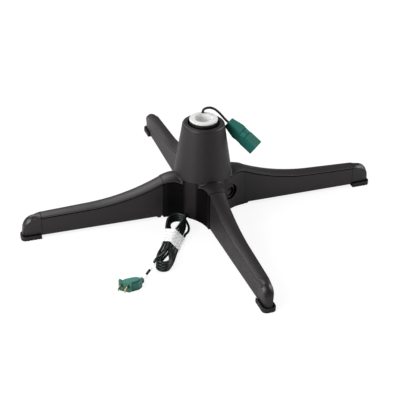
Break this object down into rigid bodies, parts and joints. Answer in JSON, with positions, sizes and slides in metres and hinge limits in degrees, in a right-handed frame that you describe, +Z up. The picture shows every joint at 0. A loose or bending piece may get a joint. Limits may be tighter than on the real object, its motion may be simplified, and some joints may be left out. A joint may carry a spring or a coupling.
{
  "type": "rotating christmas tree stand",
  "caption": "Rotating stand for an artificial christmas tree: star hub, plug-in legs with rubber feet, tapered cover, geared pole socket, outlet on slip rings and a corded plug.",
  "frame": {"origin": "on the floor, on the axis that the pole socket turns about", "axes": "+Z up along the pole socket, +X along the right leg, -Y along the front leg"},
  "size_m": [0.72, 0.72, 0.2125],
  "materials": {
    "black_plastic": "fine texture",
    "cap_plastic": "satin",
    "pad_rubber": "matte",
    "white_plastic": "satin",
    "ivory_plastic": "satin",
    "steel": "satin",
    "copper": "satin",
    "phenolic": "satin",
    "green_vinyl": "satin",
    "cord_vinyl": "satin",
    "plug_vinyl": "satin",
    "brass": "polished",
    "wrap_film": "clear film",
    "switch_plastic": "gloss"
  },
  "bodies": {
    "base": {"hub": "black_plastic", "cone_cover": "black_plastic", "bottom_plate": "black_plastic", "bottom_screws": "steel", "cover_screws": "steel", "gear_motor": "steel", "motor_screws": "steel", "lower_bushing": "ivory_plastic", "upper_bushing": "black_plastic", "thrust_race_lower": "steel", "brush_block": "black_plastic", "brushes": "copper", "switch_bezel": "switch_plastic", "cord_gland": "pad_rubber", "right_leg": "black_plastic", "back_leg": "black_plastic", "left_leg": "black_plastic", "front_leg": "black_plastic", "right_cap": "cap_plastic", "back_cap": "cap_plastic", "left_cap": "cap_plastic", "front_cap": "cap_plastic", "right_pad": "pad_rubber", "back_pad": "pad_rubber", "left_pad": "pad_rubber", "front_pad": "pad_rubber", "latch_pins": "steel", "latch_springs": "steel", "lead_start": "cord_vinyl", "lead_hank": "cord_vinyl", "hank_wrap": "wrap_film", "lead_run": "cord_vinyl", "cord_bands": "wrap_film", "lead_plug": "plug_vinyl", "plug_blades": "brass"},
    "rotor": {"pole_sleeve": "black_plastic", "pole_bushing": "white_plastic", "drive_gear": "ivory_plastic", "thrust_race_upper": "steel", "spindle": "phenolic", "slip_rings": "copper", "spindle_clip": "steel", "gear_screws": "steel", "inner_wires": "cord_vinyl", "tree_cord_gland": "green_vinyl", "tree_cord": "cord_vinyl", "tree_outlet": "green_vinyl"},
    "cage": {"ball_cage": "ivory_plastic", "thrust_balls": "steel"},
    "pinion": {"motor_shaft": "steel", "motor_pinion": "ivory_plastic"},
    "rocker": {"switch_rocker": "switch_plastic"},
    "right_latch_body": {"right_latch": "black_plastic"},
    "back_latch_body": {"back_latch": "black_plastic"},
    "left_latch_body": {"left_latch": "black_plastic"},
    "front_latch_body": {"front_latch": "black_plastic"}
  },
  "joints": [
    {"name": "rotor_spin", "type": "hinge", "parent": "base", "child": "rotor", "pos_m": [0, 0, 0.1], "axis": [0, 0, 1], "continuous": true},
    {"name": "pinion_spin", "type": "hinge", "parent": "base", "child": "pinion", "pos_m": [0, 0.036, 0.1], "axis": [0, 0, 1], "continuous": true},
    {"name": "cage_spin", "type": "hinge", "parent": "base", "child": "cage", "pos_m": [0, 0, 0.095], "axis": [0, 0, 1], "continuous": true},
    {"name": "rocker_tilt", "type": "hinge", "parent": "base", "child": "rocker", "pos_m": [0.04725, -0.01888, 0.044], "axis": [-0.866, -0.5, 0], "range_deg": [0, 16]},
    {"name": "right_latch_press", "type": "hinge", "parent": "base", "child": "right_latch_body", "pos_m": [0.1, 0, 0.012], "axis": [0, 1, 0], "range_deg": [0, 16], "stiffness_Nm_per_rad": 0.05, "springref_deg": -20.05},
    {"name": "back_latch_press", "type": "hinge", "parent": "base", "child": "back_latch_body", "pos_m": [0, 0.1, 0.012], "axis": [-1, 0, 0], "range_deg": [0, 16], "stiffness_Nm_per_rad": 0.05, "springref_deg": -20.05},
    {"name": "left_latch_press", "type": "hinge", "parent": "base", "child": "left_latch_body", "pos_m": [-0.1, 0, 0.012], "axis": [0, -1, 0], "range_deg": [0, 16], "stiffness_Nm_per_rad": 0.05, "springref_deg": -20.05},
    {"name": "front_latch_press", "type": "hinge", "parent": "base", "child": "front_latch_body", "pos_m": [0, -0.1, 0.012], "axis": [1, 0, 0], "range_deg": [0, 16], "stiffness_Nm_per_rad": 0.05, "springref_deg": -20.05}
  ],
  "couplings": [
    {"joint": "pinion_spin", "follows": "rotor_spin", "ratio": -5},
    {"joint": "cage_spin", "follows": "rotor_spin", "ratio": 0.5}
  ]
}
